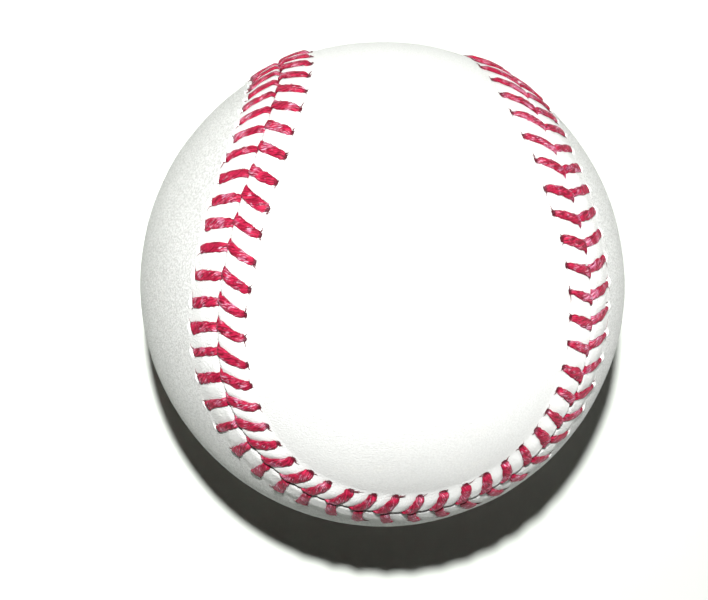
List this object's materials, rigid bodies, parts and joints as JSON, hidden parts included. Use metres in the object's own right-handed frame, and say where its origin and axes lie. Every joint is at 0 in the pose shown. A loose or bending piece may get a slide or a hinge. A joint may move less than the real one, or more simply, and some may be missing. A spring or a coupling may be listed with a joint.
{
  "type": "baseball",
  "caption": "Stitched leather ball with a cork and rubber pill, wound yarn layers and a figure-eight cover laced with red thread.",
  "frame": {"origin": "middle of the ball", "axes": "+Z through the middle of a rounded end of panel A, +Y through that panel's narrow waist, +X through a rounded end of panel B"},
  "size_m": [0.074, 0.074, 0.074],
  "materials": {
    "cork": "ground cork bound with a little rubber",
    "black_rubber": "matt moulded rubber",
    "red_rubber": "matt moulded rubber",
    "grey_wool": "tightly wound wool yarn",
    "white_wool": "tightly wound wool yarn",
    "white_cotton": "fine wound cotton yarn",
    "cement": "thin dried rubber cement",
    "leather": "white tanned leather with a fine grain",
    "thread": "waxed twisted thread"
  },
  "bodies": {
    "root": {"cork_core": "cork", "black_shell_upper": "black_rubber", "black_shell_lower": "black_rubber", "pill_washer": "red_rubber", "red_rubber_skin": "red_rubber", "first_wool_winding": "grey_wool", "second_wool_winding": "white_wool", "third_wool_winding": "grey_wool", "cotton_winding": "white_cotton", "cement_coat": "cement", "cover_panel_a": "leather", "cover_panel_b": "leather", "lacing_thread_a": "thread", "lacing_thread_b": "thread"}
  },
  "joints": []
}
